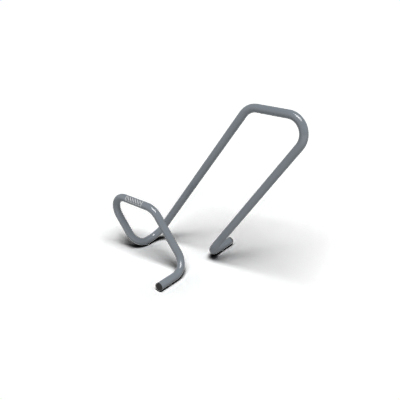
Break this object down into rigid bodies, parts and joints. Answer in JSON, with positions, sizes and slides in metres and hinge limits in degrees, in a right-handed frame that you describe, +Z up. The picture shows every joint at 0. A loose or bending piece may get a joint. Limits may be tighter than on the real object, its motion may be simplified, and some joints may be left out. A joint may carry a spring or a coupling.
{
  "type": "hoop bike rack",
  "caption": "Bike rack bent from steel tube: a low hoop and a tall slanting hoop stand side by side, joined along the ground, and hold a wheel rolled in between them.",
  "frame": {"origin": "middle of the rack's outline on the floor: X and Y at the centre of its bounding box, Z at the floor that the anchor bushes stand on", "axes": "+X towards the side that a wheel rolls in from, the way the tall hoop slants; +Y from the low hoop to the tall hoop, along the feet; +Z up"},
  "size_m": [0.8518, 0.511, 0.7437],
  "materials": {
    "tube_coat": "bluish grey powder coat, satin",
    "plug_plastic": "black moulded polyethylene, matte",
    "foot_rubber": "black moulded rubber, matte",
    "marker_film": "light grey adhesive film with grey slanting bars, satin"
  },
  "bodies": {
    "root": {"bent_tube": "tube_coat", "front_anchor_bush": "tube_coat", "rear_anchor_bush": "tube_coat", "front_end_plug": "plug_plastic", "rear_end_plug": "plug_plastic", "base_rubber_foot": "foot_rubber", "rail_marker_film": "marker_film"}
  },
  "joints": []
}
